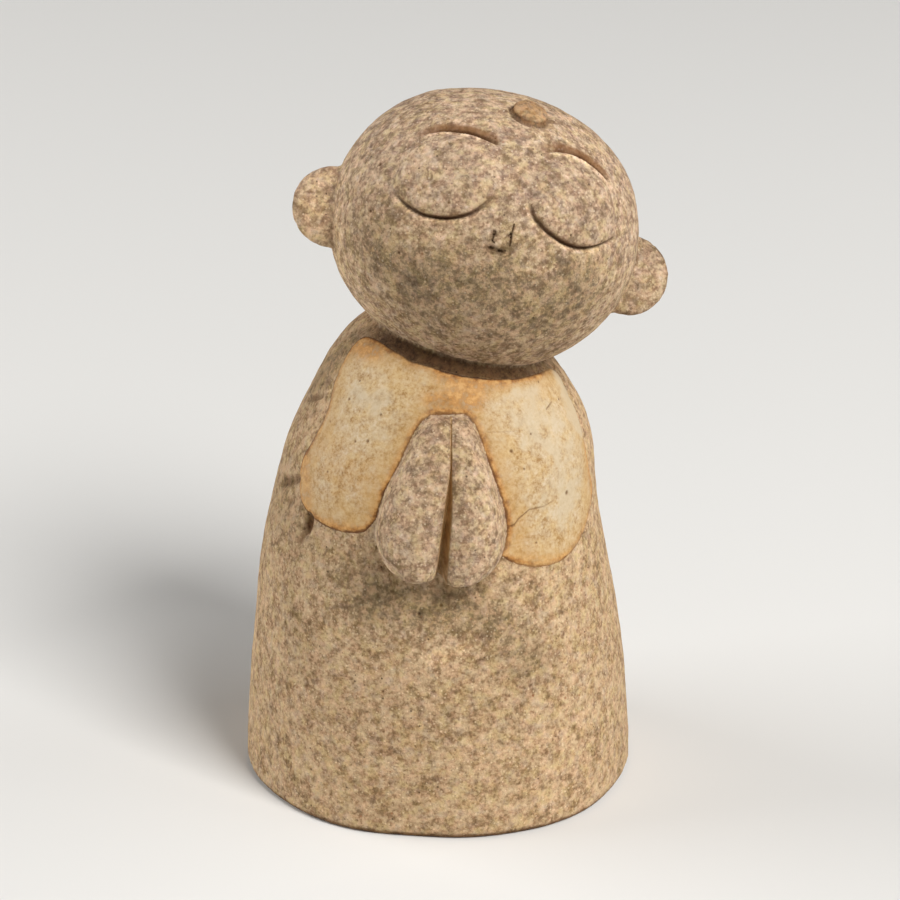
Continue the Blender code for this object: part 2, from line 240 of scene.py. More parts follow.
# Orange flashes in the glaze, and pale clouds below 0: start, end, half-width in millimetres,
# strength
FLASHES = (
    ((-3, 72.2), (17, 71.6), 1.6, 0.95),
    ((2, 75.6), (36, 73.6), 1.3, 0.85),
    ((8, 73.6), (22, 73), 2, 0.5),
    ((36, 73.6), (62, 72.6), 0.9, 0.50),
    ((-63, 77.4), (-42, 77.6), 1.9, 1.15),
    ((-7, 67.5), (-22, 54), 1.4, 1),
    ((12.5, 67.5), (23, 52), 1.3, 1),
    ((24, 47.2), (50, 44.8), 0.5, 0.5),
    ((72.8, 59), (74.6, 51), 1.2, 1),
    ((-60.9, 60), (-50, 52), 1.2, 0.65),
    ((-44, 51.2), (-26, 51.6), 0.9, 1),
    ((-52, 60), (-30, 60), 6.5, 0.22),
    ((70, 63), (78.5, 71), 2, -0.6),
    ((44, 70), (56, 53), 5.5, -0.48),
    ((18, 62), (32, 48), 2.8, 0.26),
    ((60, 48.5), (70, 56), 2.6, 0.30),
    ((40, 60.5), (52, 57), 1.6, 0.22),
    ((-36, 71), (-26, 66), 3.2, -0.32),
)

# Painted shade in the fold between head and body: darkest near this direction, fading toward the
# back, in degrees
CREASE_TURN = 8.0
CREASE_FADE = (35.0, 50.0)

# Soft lumps left by the fingers: height, size in millimetres, shift of the pattern. The skin is
# then lowered to stay inside the solid's box, and calmer under the glaze and in the slit
WIDE_LUMPS = ((0.14, 11.0, 3.1),)
FINE_LUMPS = ((0.07, 3.6, 7.7), (0.07, 1.4, 1.3))
BUTTON_LUMPS = (0.35, 1.7, 5.2)
MOAT_DEPTH = 0.30 * MM
RELIEF_SINK = 0.14 * MM
BIB_CALM = 0.5
SLIT_CALM = 0.4
FLOOR_SNAP = 0.004 * MM

# Contrast of the clay's mottle, and what palms and head add to it
CONTRAST = 0.66
PALM_CONTRAST = 0.17
HEAD_CONTRAST = 0.22
# Painted highlight below the eye lines and brows
LIP_HIGHLIGHT = 0.40

# Dark rims of the ears: where they begin and how fast, as shares of the ear's radius, and their
# darkness on the viewer's right and left
EAR_RIM = (0.80, 0.18)
EAR_RIM_DARKNESS = (0.50, 0.32)

# Mesh: longest edges by place in millimetres, and rules for splitting them
EDGES = {
    "plain": 0.85, "face": 0.56, "neck": 0.42, "palms": 0.46, "palm_rim": 0.30, "button": 0.32,
    "ear_join": 0.42, "stroke_side": 0.30, "stroke": 0.17, "nick_side": 0.22, "nick": 0.11,
    "grain": 0.15, "dent_side": 0.36, "dent": 0.30, "crack": 0.20, "bib_edge": 0.34, "slit": 0.18,
}
SPLIT_OVER = 1.25
STRETCHED_EDGE = 0.55 * MM
STRETCHED_OVER = 1.5
SHORTEST_SPLIT = 0.02 * MM
NET_STEP = 0.78 * MM
NET_MARGINS = (2.3, 3.0)
NET_BLOCKS = 24
NET_STEPS = 6
JOIN_FILLET = 0.35 * MM
PROJECT_STEPS = 4
REFINE_ROUNDS = 5
RELAX_ROUNDS = 3
MARK_REACH = 3.0 * MM
DIFFERENCE = 0.01 * MM
TINY = 1e-9


def ease(value):
    """Ease from 0 to 1 as the value goes from 0 to 1."""
    share = np.clip(value, 0.0, 1.0)
    return share * share * (3.0 - 2.0 * share)


def band_share(value, start, rise, end, fall):
    """1 between start and end, eased in after the start and out before the end."""
    return ease((value - start) / rise) * ease((end - value) / fall)


def smooth_line(marks, pieces=8, closed=False):
    """Rows of numbers run through by one smooth line."""
    marks = np.asarray(marks, float)
    if closed:
        padded = np.concatenate([marks[-1:], marks, marks[:2]])
    else:
        padded = np.concatenate([2 * marks[:1] - marks[1:2], marks, 2 * marks[-1:] - marks[-2:-1]])
    rows = []
    for index in range(1, len(padded) - 2):
        before, start, end, after = padded[index - 1:index + 3]
        for step in range(pieces):
            t = step / pieces
            rows.append(0.5 * (2 * start + (end - before) * t
                               + (2 * before - 5 * start + 4 * end - after) * t * t
                               + (3 * start - before - 3 * end + after) * t ** 3))
    if not closed:
        rows.append(padded[-2])
    return np.array(rows)


def rising_rows(rows):
    """Columns of metres from rows of millimetres, smoothed, with the first column rising."""
    return smooth_line(rows)[::-1].T * MM


PALM_ROWS = [rising_rows(rows) for rows in PALMS]
SLIT_ROWS = rising_rows(SLIT)


# Head axes and directions
def head_pose():
    middle = Vector((HEAD_SHIFT, HEAD_BACKSET, BODY_HEIGHT + HEAD_SIZES[2] / 2.0 - HEAD_SINK))
    turn = Matrix.Rotation(math.radians(HEAD_TURN), 4, "Z")
    tilt = Matrix.Rotation(math.radians(HEAD_TILT), 4, "Y")
    lift = Matrix.Rotation(math.radians(-HEAD_LIFT), 4, "X")
    return Matrix.Translation(middle) @ turn @ tilt @ lift


TO_HEAD = np.array(head_pose().inverted())


def in_head(points):
    return points @ TO_HEAD[:3, :3].T + TO_HEAD[:3, 3]


def directions(angles):
    """Unit rays of the head for rows of (sideways, up) degrees."""
    across, up = np.radians(np.asarray(angles, float)).T
    return np.stack([np.sin(across) * np.cos(up), -np.cos(across) * np.cos(up), np.sin(up)], 1)


def head_radius(rays):
    stretched = rays * 2.0 / np.array(HEAD_SIZES)
    total = 1.0 / np.linalg.norm(stretched, axis=1)
    for aside, rise, reach, half_width in (*HEAD_SWELLS, CHIN_SWELL):
        cosine = np.clip(rays @ directions([(aside, rise)])[0], -1.0, 1.0)
        total = total + reach * np.exp(-(np.degrees(np.arccos(cosine)) / half_width) ** 2)
    return total


def on_head(angles):
    """Points of the head's skin in its own axes."""
    rays = directions(angles)
    return rays * head_radius(rays)[:, None]


# Body, palms and their unrolled coordinates
def turned_radius(height):
    share = np.clip(height / BODY_HEIGHT, 0.0, 1.0)
    barrel = FOOT_RADIUS * (1.0 - share ** BARREL_POWER) ** DOME_POWER
    offset = (height - BODY_HEIGHT + SHOULDER_DROP) / SHOULDER_SPREAD
    return barrel + SHOULDER_SWELL * np.exp(-offset * offset) * (1.0 - share) ** 0.25


def wander(height):
    share = height / BODY_HEIGHT
    total = np.zeros_like(share)
    for middle, reach, spread in AXIS_WANDERS:
        total = total + reach * np.exp(-((share - middle) / spread) ** 2)
    return total


def around_body(points):
    """Distance from the body's axis and direction in degrees from the front."""
    across = points[:, 0] - wander(points[:, 2])
    return np.hypot(across, points[:, 1]), np.degrees(np.arctan2(across, -points[:, 1]))


def on_body(marks):
    """Points of the body's skin for rows of (degrees from the front, height in mm)."""
    turns, heights = np.asarray(marks, float).T
    heights = heights * MM
    turns = np.radians(turns)
    reach = turned_radius(heights)
    across = wander(heights) + reach * np.sin(turns)
    return np.stack([across, -reach * np.cos(turns), heights], 1)


def proud_of_chest(points):
    return around_body(points)[0] - turned_radius(points[:, 2])


def body_distance(points):
    reach, turn = around_body(points)
    height = points[:, 2]
    share = height / BODY_HEIGHT
    push = np.zeros_like(reach)
    for heading, middle, depth, half_turn, half_height in BODY_PRESSES:
        aside = (turn - heading + 180.0) % 360.0 - 180.0
        push += depth * np.exp(-(aside / half_turn) ** 2 - ((share - middle) / half_height) ** 2)
    radius = turned_radius(height)
    slope = (turned_radius(height + DIFFERENCE) - radius) / DIFFERENCE
    side = (reach - radius - push) / np.sqrt(1.0 + np.clip(slope, -4.0, 4.0) ** 2)
    return round_off(side, -height, FOOT_ROUNDING)


def egg_distance(local, half_sizes):
    """First-order distance to an egg with these half sizes."""
    near = np.linalg.norm(local / half_sizes, axis=1)
    steep = np.linalg.norm(local / half_sizes ** 2, axis=1)
    return near * (near - 1.0) / np.maximum(steep, TINY)


def head_distance(local):
    reach = np.linalg.norm(local, axis=1)
    rays = local / np.maximum(reach, TINY)[:, None]
    return reach - head_radius(rays)


def ear_distance(local):
    half_sizes = np.array((EAR_RADIUS, EAR_THICKNESS / 2.0, EAR_RADIUS))
    out = HEAD_SIZES[0] / 2.0 - EAR_SINK
    centre = np.array((out, 0.0, -EAR_DROP))
    sided = np.stack([np.abs(local[:, 0]), local[:, 1], local[:, 2]], 1)
    return egg_distance(sided - centre, half_sizes)


BUTTON_SEAT = on_head([(BUTTON_TURN, BUTTON_RISE)])[0]
BUTTON_FACING = directions([(BUTTON_TURN, BUTTON_RISE)])[0]


def button_distance(local):
    offset = local - BUTTON_SEAT
    out = offset @ BUTTON_FACING
    flat = np.linalg.norm(offset - out[:, None] * BUTTON_FACING, axis=1)
    sizes = np.array((BUTTON_RADIUS, BUTTON_THICKNESS / 2.0))
    return egg_distance(np.stack([flat, out], 1), sizes)


def round_off(first, second, radius):
    """Larger of two distances, with the edge where they meet rounded off."""
    corner = np.hypot(np.maximum(first + radius, 0.0), np.maximum(second + radius, 0.0)) - radius
    return np.where((first > -radius) & (second > -radius), corner, np.maximum(first, second))


def palm_distance(points, rows):
    heights, outer, inner, thick = rows
    middle = np.interp(points[:, 2], heights, (outer + inner) / 2.0)
    half_width = np.interp(points[:, 2], heights, np.abs(outer - inner) / 2.0)
    thickness = np.interp(points[:, 2], heights, thick)
    across = np.abs(points[:, 0] - middle) / half_width
    level = np.abs(proud_of_chest(points)) / thickness
    size = (across ** PALM_ROUNDNESS + level ** PALM_ROUNDNESS) ** (1.0 / PALM_ROUNDNESS)
    side = (size - 1.0) * np.minimum(half_width, thickness)
    side = np.where(points[:, 1] < 0.0, side, 1.0)
    end = np.maximum(points[:, 2] - heights[-1], heights[0] - points[:, 2])
    return round_off(side, end, PALM_END_ROUNDING)


def palms_distance(points):
    return np.minimum(*(palm_distance(points, rows) for rows in PALM_ROWS))


def blend_min(first, second, fillet):
    """Smaller of two distances, with a fillet where they meet."""
    close = np.maximum(fillet - np.abs(first - second), 0.0) / fillet
    return np.minimum(first, second) - close * close * fillet / 4.0


def figure_distance(points):
    local = in_head(points)
    head = blend_min(head_distance(local), ear_distance(local), JOIN_FILLET * 2.0)
    head = blend_min(head, button_distance(local), JOIN_FILLET / 2.0)
    body = blend_min(body_distance(points), palms_distance(points), JOIN_FILLET)
    return blend_min(head, body, JOIN_FILLET)


PROBES = np.array(((1.0, -1.0, -1.0), (-1.0, -1.0, 1.0), (-1.0, 1.0, -1.0), (1.0, 1.0, 1.0)))


def gradients(points):
    """Unit direction in which the distance grows, how fast, and the distance itself."""
    around = [figure_distance(points + probe * DIFFERENCE) for probe in PROBES]
    slopes = sum(value[:, None] * probe for value, probe in zip(around, PROBES)) / (4.0 * DIFFERENCE)
    steep = np.maximum(np.linalg.norm(slopes, axis=1), 0.2)
    return slopes / steep[:, None], steep, sum(around) / 4.0


def project(points, rounds=PROJECT_STEPS):
    """Move points onto the figure's skin."""
    for _ in range(rounds):
        out, steep, distance = gradients(points)
        shift = np.clip(distance / steep, -NET_STEP, NET_STEP)
        points = points - out * shift[:, None]
    return points


# Mesh: a net over the skin, refined where there is detail
def corner_views(grid):
    """The eight corners of every cell, as views of a grid of values."""
    near = slice(None, -1)
    far = slice(1, None)
    return [grid[a, b, c] for a in (near, far) for b in (near, far) for c in (near, far)]


def skin_net(low, high):
    """A net of quads over the skin inside a box, two triangles to each."""
    before, after = (margin * NET_STEP for margin in NET_MARGINS)
    axes = [np.arange(a - before, b + after, NET_STEP) for a, b in zip(low, high)]
    shape = tuple(len(axis) for axis in axes)
    places = np.stack(np.meshgrid(*axes, indexing="ij"), -1).reshape(-1, 3)
    blocks = np.array_split(places, NET_BLOCKS)
    values = np.concatenate([figure_distance(block) for block in blocks]).reshape(shape)
    inside = values < 0.0
    count = sum(view.astype(np.int8) for view in corner_views(inside))
    active = (count > 0) & (count < 8)
    number = np.full(active.shape, -1)
    number[active] = np.arange(active.sum())
    cells = np.argwhere(active)
    start = np.array([axis[0] for axis in axes])
    points = project(start + (cells + 0.5) * NET_STEP, NET_STEPS)
    quads = []
    for axis in range(3):
        first = [slice(1, -1)] * 3
        second = [slice(1, -1)] * 3
        first[axis] = slice(None, -1)
        second[axis] = slice(1, None)
        here = inside[tuple(first)]
        there = inside[tuple(second)]
        crossing = np.argwhere(here != there)
        outward = here[tuple(crossing.T)]
        others = [a for a in range(3) if a != axis]
        crossing[:, others] += 1
        backs = np.zeros((4, 3), int)
        backs[:, others] = ((1, 1), (0, 1), (0, 0), (1, 0))
        ring = np.stack([number[tuple((crossing - back).T)] for back in backs], 1)
        turned = outward if axis != 1 else ~outward
        ring[~turned] = ring[~turned][:, ::-1]
        quads.append(ring)
    quads = np.concatenate(quads)
    across = np.linalg.norm(points[quads[:, 0]] - points[quads[:, 2]], axis=1)
    other = np.linalg.norm(points[quads[:, 1]] - points[quads[:, 3]], axis=1)
    short = (across <= other)[:, None]
    first = np.where(short, quads[:, [0, 1, 2]], quads[:, [0, 1, 3]])
    second = np.where(short, quads[:, [0, 2, 3]], quads[:, [1, 2, 3]])
    return points, np.concatenate([first, second])


def edges_of(faces, total):
    """Unique edges, and the number of each face's three edges."""
    pairs = np.sort(np.concatenate([faces[:, [0, 1]], faces[:, [1, 2]], faces[:, [2, 0]]]), axis=1)
    keys, index = np.unique(pairs[:, 0] * total + pairs[:, 1], return_inverse=True)
    edges = np.stack([keys // total, keys % total], 1)
    return edges, index.reshape(3, -1).T


def turn_rows(rows, turn):
    """Rows of three corners and three halves, each turned round by so many places."""
    order = (np.arange(3) + turn[:, None]) % 3
    return np.take_along_axis(rows, np.concatenate([order, order + 3], axis=1), axis=1)


def split_edges(points, faces, marked, edges, index):
    """Halve the marked edges and divide their faces to fit."""
    number = np.full(len(edges), -1)
    number[marked] = len(points) + np.arange(marked.sum())
    middles = project(points[edges[marked]].mean(axis=1), 2)
    points = np.concatenate([points, middles])
    rows = np.concatenate([faces, number[index]], axis=1)
    count = (rows[:, 3:] >= 0).sum(axis=1)
    none, one, two, three = (rows[count == total] for total in range(4))
    one = turn_rows(one, np.argmax(one[:, 3:] >= 0, axis=1))
    two = turn_rows(two, np.argmin(two[:, 3:] >= 0, axis=1) + 1)
    near = np.linalg.norm(points[two[:, 0]] - points[two[:, 4]], axis=1)
    far = np.linalg.norm(points[two[:, 3]] - points[two[:, 2]], axis=1)
    short = (near <= far)[:, None]
    kept = [none[:, :3], one[:, [0, 3, 2]], one[:, [3, 1, 2]], two[:, [3, 1, 4]]]
    kept.append(np.where(short, two[:, [0, 3, 4]], two[:, [0, 3, 2]]))
    kept.append(np.where(short, two[:, [0, 4, 2]], two[:, [3, 4, 2]]))
    kept += [three[:, corners] for corners in ([0, 3, 5], [3, 1, 4], [5, 4, 2], [3, 4, 5])]
    return points, np.concatenate(kept)


def relax(points, faces):
    """Even out the net along the skin."""
    edges = edges_of(faces, len(points))[0]
    ends = np.concatenate([edges, edges[:, ::-1]])
    degree = np.bincount(ends[:, 0], minlength=len(points))
    for _ in range(RELAX_ROUNDS):
        sums = [np.bincount(ends[:, 0], points[ends[:, 1], axis], len(points)) for axis in range(3)]
        average = np.stack(sums, 1) / degree[:, None]
        points = project(points * 0.5 + average * 0.5, 1)
    return points


# Lines drawn on the skin
def from_line(points, line):
    """Distance to a line, share along it, offset from its nearest point, and the tangent there."""
    best = np.full(len(points), np.inf)
    along = np.zeros(len(points))
    offset = np.zeros_like(points)
    tangent = np.zeros_like(points)
    lengths = np.linalg.norm(np.diff(line, axis=0), axis=1)
    passed = np.concatenate([[0.0], np.cumsum(lengths)])
    for index, length in enumerate(lengths):
        direction = (line[index + 1] - line[index]) / length
        reach = np.clip((points - line[index]) @ direction, 0.0, length)
        away = points - line[index] - reach[:, None] * direction
        distance = np.linalg.norm(away, axis=1)
        closer = distance < best
        best[closer] = distance[closer]
        along[closer] = (passed[index] + reach[closer]) / passed[-1]
        offset[closer] = away[closer]
        tangent[closer] = direction
    return best, along, offset, tangent


EYE_LINES = [on_head(smooth_line(marks)) for marks in EYE_STROKES]
BROW_LINES = [on_head(smooth_line(marks)) for marks in BROW_STROKES]
NICK_LINES = [on_head(np.linspace(start, end, 4)) for start, end, _ in NICKS]
BIB_ANGLES = smooth_line(BIB_OUTLINE, 4, closed=True)
BIB_LINE = on_body(np.concatenate([BIB_ANGLES, BIB_ANGLES[:1]]))
DENT_LINES = [on_body(np.linspace(start, end, 4)) for start, end, *_ in DENTS]


def near_line(points, line, reach=MARK_REACH):
    """Which points are within reach of a line's box, and what from_line says of them."""
    low = line.min(axis=0) - reach
    high = line.max(axis=0) + reach
    near = np.all((points > low) & (points < high), axis=1)
    return near, *from_line(points[near], line)


def stroke_side(local, line):
    """Near points, share along the stroke, and the distance from it, negative below it."""
    near, distance, along, offset, tangent = near_line(local, line)
    outward = local[near] / np.linalg.norm(local[near], axis=1)[:, None]
    above = np.einsum("ij,ij->i", offset, np.cross(outward, tangent))
    return near, along, np.where(above >= 0.0, distance, -distance)


def inside_outline(turn, height):
    """Whether body angles and heights lie inside the bib's outline."""
    inside = np.zeros(len(turn), bool)
    count = len(BIB_ANGLES)
    for index in range(count):
        x0, y0 = BIB_ANGLES[index]
        x1, y1 = BIB_ANGLES[(index + 1) % count]
        if y0 == y1:
            continue
        crosses = (height > y0) != (height > y1)
        inside ^= crosses & (turn < x0 + (height - y0) * (x1 - x0) / (y1 - y0))
    return inside


def bib_distance(points):
    """Signed distance to the bib's outline along the chest, negative inside."""
    result = np.full(len(points), 8.0 * MM)
    near = points[:, 1] < 6.0 * MM
    turn = around_body(points[near])[1]
    distance = from_line(points[near], BIB_LINE)[0]
    inside = inside_outline(turn, points[near, 2] / MM)
    result[near] = np.where(inside, -distance, distance)
    return result


def slit_frame(points):
    """Across from the slit's middle, proud of the chest, and the slit's half-width there."""
    heights, middles, widths = SLIT_ROWS
    across = points[:, 0] - np.interp(points[:, 2], heights, middles)
    half_width = np.interp(points[:, 2], heights, widths) / 2.0
    return across, proud_of_chest(points), half_width


def sink_slit(points):
    """Press the slit between the palms toward the chest, and say how deep it lies."""
    across, proud, half_width = slit_frame(points)
    height = points[:, 2] / MM
    foot, open_foot, open_top, top = SLIT_ENDS
    fall = SLIT_LIP + SLIT_SLOPE * half_width
    strength = ease((half_width + SLIT_LIP - np.abs(across)) / fall)
    strength *= band_share(height, foot, open_foot - foot, top, top - open_top)
    deepest = np.interp(height, *np.array(SLIT_DEPTHS).T) * MM
    sink = strength * np.clip(proud - SLIT_FLOOR, 0.0, deepest)
    sink = np.where((points[:, 1] < 0.0) & (proud < 12.0 * MM), sink, 0.0)
    share = sink / np.maximum(around_body(points)[0], TINY)
    middle = wander(points[:, 2])
    moved = points.copy()
    moved[:, 0] -= (points[:, 0] - middle) * share
    moved[:, 1] -= points[:, 1] * share
    return moved, sink


def allowed_length(points):
    """Longest edge wanted at each place of the skin."""
    local = in_head(points)
    head = head_distance(local)
    body = body_distance(points)
    palm = palms_distance(points)
    allowed = np.full(len(points), EDGES["plain"] * MM)

    def limit(places, name):
        allowed[places] = np.minimum(allowed[places], EDGES[name] * MM)

    def limit_near(places_of, line, rules):
        near, distance = near_line(places_of, line)[:2]
        found = np.flatnonzero(near)
        for within, name in rules:
            limit(found[distance < within * MM], name)

    level = np.abs(local[:, 2] / np.linalg.norm(local, axis=1)) < 0.75
    limit((head < 0.5 * MM) & (local[:, 1] < -12.0 * MM) & level, "face")
    limit((np.abs(head) < 0.9 * MM) & (np.abs(body) < 0.9 * MM), "neck")
    limit((palm < 0.5 * MM) & (body > -0.5 * MM), "palms")
    limit((np.abs(palm) < 0.6 * MM) & (np.abs(body) < 0.6 * MM), "palm_rim")
    limit(button_distance(local) < 0.5 * MM, "button")
    limit((np.abs(ear_distance(local)) < 0.5 * MM) & (np.abs(head) < 0.5 * MM), "ear_join")
    for line in EYE_LINES + BROW_LINES:
        limit_near(local, line, ((1.6, "stroke_side"), (0.5, "stroke")))
    for line in NICK_LINES:
        limit_near(local, line, ((0.9, "nick_side"), (0.45, "nick")))
    for line, (_, _, half_width, _, _) in zip(DENT_LINES, DENTS):
        middle = (0.35, "crack" if half_width < 0.2 else "dent")
        limit_near(points, line, ((half_width + 0.5, "dent_side"), middle))
    for places_of, on_form, marks in ((local, on_head, HEAD_GRAINS + HEAD_CRUMBS),
                                      (points, on_body, BODY_GRAINS + BODY_CRUMBS)):
        for place, radius in marks:
            away = np.linalg.norm(places_of - on_form([place]), axis=1)
            limit(away < (radius + 0.3) * MM, "grain")
    limit((np.abs(bib_distance(points)) < 0.5 * MM) & (np.abs(body) < 0.3 * MM), "bib_edge")
    across, proud, half_width = slit_frame(points)
    in_slit = (np.abs(across) < half_width + 0.45 * MM) & (proud > 0.4 * MM) & (points[:, 1] < 0.0)
    height = points[:, 2] / MM
    limit(in_slit & (height > SLIT_ENDS[0]) & (height < SLIT_ENDS[3]), "slit")
    return allowed


def make_net():
    """The figure's skin as points and triangles, before its relief."""
    low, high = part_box("jizo_figure")
    points, faces = skin_net(low, high)
    points = relax(points, faces)
    for _ in range(REFINE_ROUNDS):
        edges, index = edges_of(faces, len(points))
        ends = points[edges]
        sunk = sink_slit(points)[0][edges]
        length = np.linalg.norm(ends[:, 0] - ends[:, 1], axis=1)
        stretched = np.linalg.norm(sunk[:, 0] - sunk[:, 1], axis=1)
        allowed = allowed_length(ends.mean(axis=1))
        torn = (stretched > STRETCHED_EDGE) & (stretched > length * STRETCHED_OVER)
        marked = (length > allowed * SPLIT_OVER) | (torn & (length > SHORTEST_SPLIT))
        points, faces = split_edges(points, faces, marked, edges, index)
    points = relax(points, faces)
    return points, faces


# Relief
def lumps(points, size, seed):
    """Smooth random heights, about -1 to 1, with bumps of this size."""
    places = (points / size + seed).tolist()
    return np.array([noise.noise(place) for place in places])


def keep_larger(values, near, found):
    values[near] = np.maximum(values[near], found)


def stroke_profile(side, wall, slope):
    """Share of a stroke's depth: a steep wall on the positive side, a long slope on the other."""
    steep = np.clip(1.0 - side / wall, 0.0, 1.0)
    gentle = np.clip(1.0 + side / slope, 0.0, 1.0) ** 1.7
    return np.where(side >= 0.0, steep, gentle)


def face_relief(local):
    """Height of the tooled face, and shares of the painted shade in its lines, of the painted shade
    on brow and lid bands, and of the painted highlight on the lips below.
    """
    height, painted_groove_shade, painted_band_shade, lip_highlight = (np.zeros(len(local)) for _ in range(4))
    rays = local / np.linalg.norm(local, axis=1)[:, None]
    aside = np.degrees(np.arctan2(rays[:, 0], -rays[:, 1]))
    rise = np.degrees(np.arcsin(np.clip(rays[:, 2], -1.0, 1.0)))
    across = (np.abs(aside) - LID_MIDDLE[0]) / LID_HALF_SPANS[0]
    up = (rise - LID_MIDDLE[1]) / LID_HALF_SPANS[1]
    height += LID_RISE * ease(1.5 * (1.15 - across ** 2 - up ** 2))
    for line in EYE_LINES:
        near, along, side = stroke_side(local, line)
        strength = np.sin(np.pi * (0.02 + 0.96 * along)) ** 0.4
        height[near] -= EYE_DEPTH * (stroke_profile(side, EYE_WALL, EYE_SLOPE) * strength)
        # Painted shade in the eye line
        dark = ease(1.6 - np.abs(side - 0.06 * MM) / EYE_LINE * 1.2) * strength
        keep_larger(painted_groove_shade, near, dark)
        # Painted shade on the lid's lower edge, which turns down above the eye line
        edge = band_share(side, 0.0, 0.2 * MM, LID_EDGE, 0.6 * MM)
        keep_larger(painted_band_shade, near, 0.42 * edge * strength)
        # Painted highlight on the upward slope below the eye line
        pale = band_share(-side, 0.25 * MM, 0.2 * MM, LIP_END, 0.5 * MM)
        keep_larger(lip_highlight, near, pale * strength)
    for line, strengths in zip(BROW_LINES, BROW_STRENGTHS):
        near, along, side = stroke_side(local, line)
        side = side - BROW_SHIFT
        strength = np.interp(along, *np.array(strengths).T)
        height[near] -= BROW_DEPTH * (stroke_profile(-side, BROW_WALL, BROW_SLOPE) * strength)
        # Painted shade on the brow's downward slope
        band = band_share(side, -0.1 * MM, 0.2 * MM, BROW_BAND, 0.6 * MM)
        keep_larger(painted_band_shade, near, band * strength)
        # Painted shade along the brow's lower edge
        dark = ease(1.5 - np.abs(side - BROW_LINE_ABOVE) / BROW_LINE) * strength
        dark *= 0.35 + 0.65 * ease(along / 0.65)
        keep_larger(painted_groove_shade, near, 0.88 * dark)
        # Painted highlight on the lid's rim below the brow
        pale = band_share(-side, 0.2 * MM, 0.15 * MM, LIP_END, 0.5 * MM)
        keep_larger(lip_highlight, near, pale * strength)
    for line, (_, _, half_width) in zip(NICK_LINES, NICKS):
        near, distance = near_line(local, line)[:2]
        share = ease(1.6 - distance / (half_width * MM))
        height[near] -= NICK_DEPTH * share
        # Painted shade in and around the nick
        halo = 0.45 * ease(2.8 - distance / (half_width * MM))
        keep_larger(painted_groove_shade, near, np.maximum(0.76 * share, halo))
    return height, painted_groove_shade, painted_band_shade, lip_highlight


def dent_relief(points):
    """Height of the marks on the body, and the painted shade in their hollows."""
    height = np.zeros(len(points))
    grains_and_painted_shade = np.zeros(len(points))
    for line, (_, _, half_width, depth, dark) in zip(DENT_LINES, DENTS):
        near, distance, along = near_line(points, line)[:3]
        share = ease(1.3 - distance / (half_width * MM))
        share *= 0.7 + 0.3 * np.sin(np.pi * along)
        height[near] -= depth * MM * share
        keep_larger(grains_and_painted_shade, near, share * dark)
    return height, grains_and_painted_shade


def spot_relief(places, on_form, grains, crumbs):
    """Height and darkness of scattered dark grains, which lie low, and crumbs, which stand up."""
    height = np.zeros(len(places))
    grains_and_painted_shade = np.zeros(len(places))
    for index, (place, radius) in enumerate(grains + crumbs):
        distance = np.linalg.norm(places - on_form([place]), axis=1) / (radius * MM)
        share = ease(1.5 - distance)
        if index < len(grains):
            height -= GRAIN_DEPTH * share
            grains_and_painted_shade = np.maximum(grains_and_painted_shade, share)
        else:
            height += CRUMB_RISE * share
    return height, grains_and_painted_shade


def shade_along(places, on_form, marks, corners=8):
    """Sum of soft patches along lines on the head or the body."""
    total = np.zeros(len(places))
    for start, end, half_width, amount in marks:
        line = on_form(np.linspace(start, end, corners))
        near, distance = near_line(places, line, 3.0 * half_width * MM)[:2]
        total[near] += amount * np.exp(-(distance / (half_width * MM)) ** 2)
    return total


def painted_fold_shade(points, head, body, bib, on_skin, above):
    """Painted shade in the fold between head and body: on the body under the head, most above the
    bib, and on the chin where it meets the body.
    """
    fold = ease((6.5 * MM - head) / (2.0 * MM))
    fold = fold * band_share(bib, -0.5 * MM, 0.6 * MM, 3.2 * MM, MM)
    fold = np.maximum(fold, ease((1.6 * MM - head) / (1.2 * MM)))
    fold = fold * (1.0 - above) * on_skin
    chin = ease(1.0 - np.abs(body) / (0.7 * MM)) * above * (head > -MM)
    fold = np.maximum(fold, chin)
    turn = np.abs(around_body(points)[1] - CREASE_TURN)
    fold = fold * (1.0 - 0.65 * ease((turn - CREASE_FADE[0]) / CREASE_FADE[1]))
    under = ease((bib + 2.6 * MM) / (2.6 * MM)) * ease((9.0 * MM - head) / (2.0 * MM))
    return np.maximum(fold, 0.13 * under * on_skin * (1.0 - above))


def darkened_ear_rims(local, ear):
    """Darkness along the rims of the ears, more on the viewer's right."""
    rim = np.hypot(np.abs(local[:, 0]) - HEAD_SIZES[0] / 2.0, local[:, 2] + EAR_DROP) / EAR_RADIUS
    amount = np.where(local[:, 0] > 0.0, *EAR_RIM_DARKNESS)
    return amount * ease((rim - EAR_RIM[0]) / EAR_RIM[1]) * ease(0.5 - ear / (0.2 * MM))


